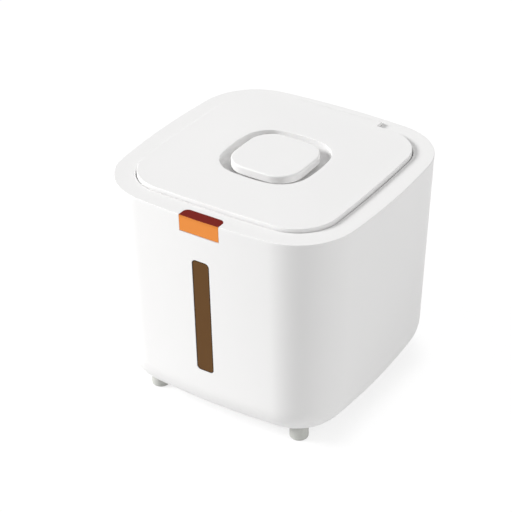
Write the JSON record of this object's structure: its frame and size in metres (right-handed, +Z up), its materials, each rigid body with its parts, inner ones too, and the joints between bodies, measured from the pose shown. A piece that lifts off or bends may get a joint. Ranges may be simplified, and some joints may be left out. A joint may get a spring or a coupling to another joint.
{
  "type": "rice bin with flip lid",
  "caption": "Squarish kitchen bin for rice on small feet, with a hinged flip lid, a front press latch, a tinted viewing strip and a lift-out cartridge under the lid's knob.",
  "frame": {"origin": "on the floor under the middle of the bin", "axes": "+Z up, -Y the front with the latch and the viewing strip, +X to the right seen from the front"},
  "size_m": [0.272, 0.272, 0.255],
  "materials": {
    "white_shell": "white moulded plastic, satin",
    "white_inner": "white moulded plastic, fine matt",
    "tinted_window": "brown transparent plastic, polished",
    "dark_red": "dark red plastic, smooth",
    "orange": "orange plastic, smooth",
    "steel": "plain drawn steel",
    "seal_rubber": "translucent grey silicone",
    "grey_foot": "light grey rubber, matt"
  },
  "bodies": {
    "bin": {"tub": "white_shell", "window_strip": "tinted_window", "top_frame": "white_shell", "latch_cap": "dark_red", "latch_retainer": "white_inner", "retainer_screws": "steel", "latch_spring_left": "steel", "latch_spring_right": "steel", "hinge_pin_left": "steel", "hinge_pin_right": "steel", "lid_spring_left": "steel", "lid_spring_right": "steel", "foot_front_left": "grey_foot", "foot_front_right": "grey_foot", "foot_back_left": "grey_foot", "foot_back_right": "grey_foot", "foot_screws": "steel"},
    "lid": {"lid_cover": "white_shell", "lid_liner": "white_inner", "lid_gasket": "seal_rubber"},
    "latch_button": {"latch_button": "orange"},
    "cartridge": {"knob_cap": "white_shell", "cartridge_cup": "white_inner", "cartridge_seal": "seal_rubber"},
    "cartridge_cover": {"cartridge_grille": "white_inner"}
  },
  "joints": [
    {"name": "lid_hinge", "type": "hinge", "parent": "bin", "child": "lid", "pos_m": [0, 0.119, 0.245], "axis": [-1, 0, 0], "range_deg": [0, 100]},
    {"name": "latch_press", "type": "slide", "parent": "bin", "child": "latch_button", "axis": [0, 1, 0], "range_m": [0, 0.003], "stiffness_N_per_m": 800, "springref_m": -0.002, "deforming": ["latch_spring_left", "latch_spring_right"]},
    {"name": "cartridge_lift", "type": "slide", "parent": "lid", "child": "cartridge", "axis": [0, 0, 1], "range_m": [0, 0.045]},
    {"name": "cover_pull", "type": "slide", "parent": "cartridge", "child": "cartridge_cover", "axis": [0, 0, -1], "range_m": [0, 0.03]}
  ]
}
